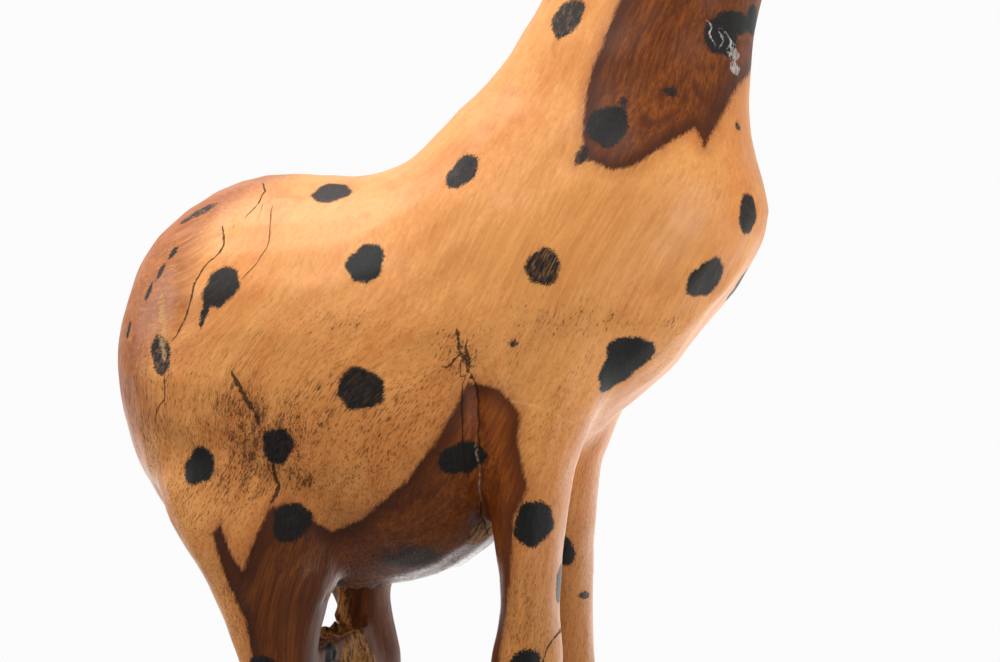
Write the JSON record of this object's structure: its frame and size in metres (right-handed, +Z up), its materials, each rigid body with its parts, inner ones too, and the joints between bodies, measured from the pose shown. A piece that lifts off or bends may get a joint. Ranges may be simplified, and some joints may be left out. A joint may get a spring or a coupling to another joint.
{
  "type": "carved giraffe statue",
  "caption": "Floor-standing carved wooden giraffe: log body on hoofed legs, long plug-in neck and head, plug-in ears, horns and inlaid eyes.",
  "frame": {"origin": "on the floor, under the middle of the statue's bounding box", "axes": "+X where the giraffe faces, +Y its left side, +Z up"},
  "size_m": [0.5444, 0.2344, 1.5714],
  "materials": {
    "carved_log": "waxed and polished, with burnt black spots",
    "heartwood": "waxed and polished",
    "bare_wood": "bare, sanded",
    "black_wood": "polished"
  },
  "bodies": {
    "body": {"body_carving": "carved_log"},
    "neck": {"neck_and_head": "carved_log", "neck_dowel": "bare_wood", "horn_left": "heartwood", "horn_right": "heartwood", "eye_left": "black_wood", "eye_right": "black_wood"},
    "left_ear": {"ear_left": "heartwood"},
    "right_ear": {"ear_right": "heartwood"}
  },
  "joints": [
    {"name": "neck_lift", "type": "slide", "parent": "body", "child": "neck", "axis": [0.1775, 0, 0.9841], "range_m": [0, 0.08]},
    {"name": "ear_left_pull", "type": "slide", "parent": "neck", "child": "left_ear", "axis": [-0.143, 0.9158, 0.3754], "range_m": [0, 0.025]},
    {"name": "ear_right_pull", "type": "slide", "parent": "neck", "child": "right_ear", "axis": [-0.143, -0.9158, 0.3754], "range_m": [0, 0.025]}
  ]
}
